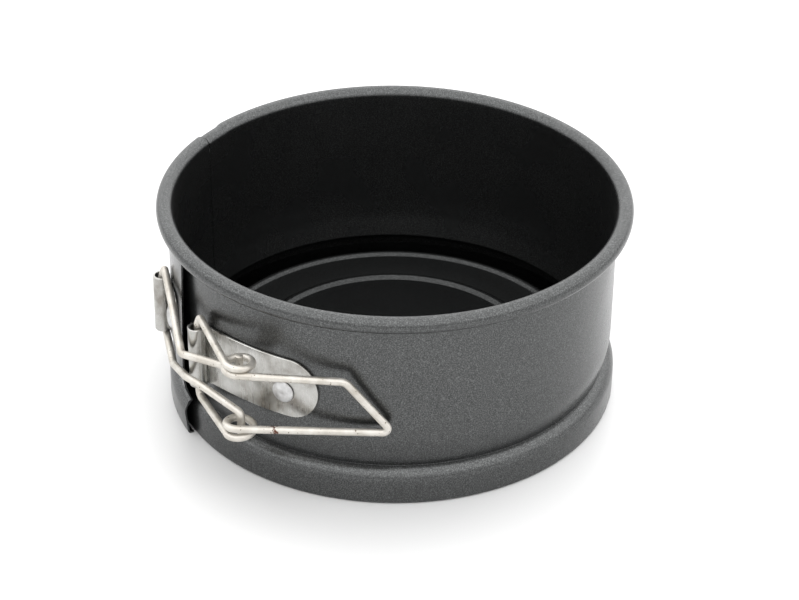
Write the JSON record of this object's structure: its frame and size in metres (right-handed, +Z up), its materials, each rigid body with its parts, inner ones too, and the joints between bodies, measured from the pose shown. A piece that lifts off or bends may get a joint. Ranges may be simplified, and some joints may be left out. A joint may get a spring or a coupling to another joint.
{
  "type": "springform cake pan",
  "caption": "Small round springform pan: split non-stick band with rolled rim, loose base disc in a foot groove, and a bent-wire toggle latch.",
  "frame": {"origin": "centre of the pan's foot plane, on the pan's axis", "axes": "+Z up along the pan's axis, the split and the latch on the -Y side, the lever's handle pointing to +X"},
  "size_m": [0.1282, 0.132, 0.058],
  "materials": {
    "coating": "satin non-stick coating with fine metallic fleck",
    "base_coating": "satin dark non-stick coating",
    "bracket": "bright cold-rolled steel with fine streaks",
    "rivet": "matt",
    "wire": "dull nickel plate with small pits"
  },
  "bodies": {
    "pan": {"band_back": "coating", "base_disc": "base_coating"},
    "right_side": {"band_right": "coating", "right_bracket": "bracket", "right_rivet": "rivet"},
    "left_side": {"band_left": "coating", "left_bracket": "bracket", "left_rivet": "rivet", "link_pin": "wire"},
    "lever": {"latch_lever": "wire"},
    "link": {"latch_link": "wire"}
  },
  "joints": [
    {"name": "right_spring", "type": "hinge", "parent": "pan", "child": "right_side", "pos_m": [0.05646, 0.0326, 0.029], "axis": [0, 0, 1], "range_deg": [0, 5.51]},
    {"name": "left_spring", "type": "hinge", "parent": "pan", "child": "left_side", "pos_m": [-0.05646, 0.0326, 0.029], "axis": [0, 0, -1], "range_deg": [0, 5.51]},
    {"name": "lever_swing", "type": "hinge", "parent": "right_side", "child": "lever", "pos_m": [0.01364, -0.06151, 0.0304], "axis": [0, 0, -1], "range_deg": [0, 109.76]},
    {"name": "link_swing", "type": "hinge", "parent": "lever", "child": "link", "pos_m": [0.03566, -0.05707, 0.0304], "axis": [0, 0, 1], "range_deg": [0, 72.53]}
  ],
  "couplings": [
    {"joint": "right_spring", "follows": "lever_swing", "ratio": 0.050111},
    {"joint": "left_spring", "follows": "lever_swing", "ratio": 0.050111},
    {"joint": "link_swing", "follows": "lever_swing", "ratio": 0.66079}
  ]
}
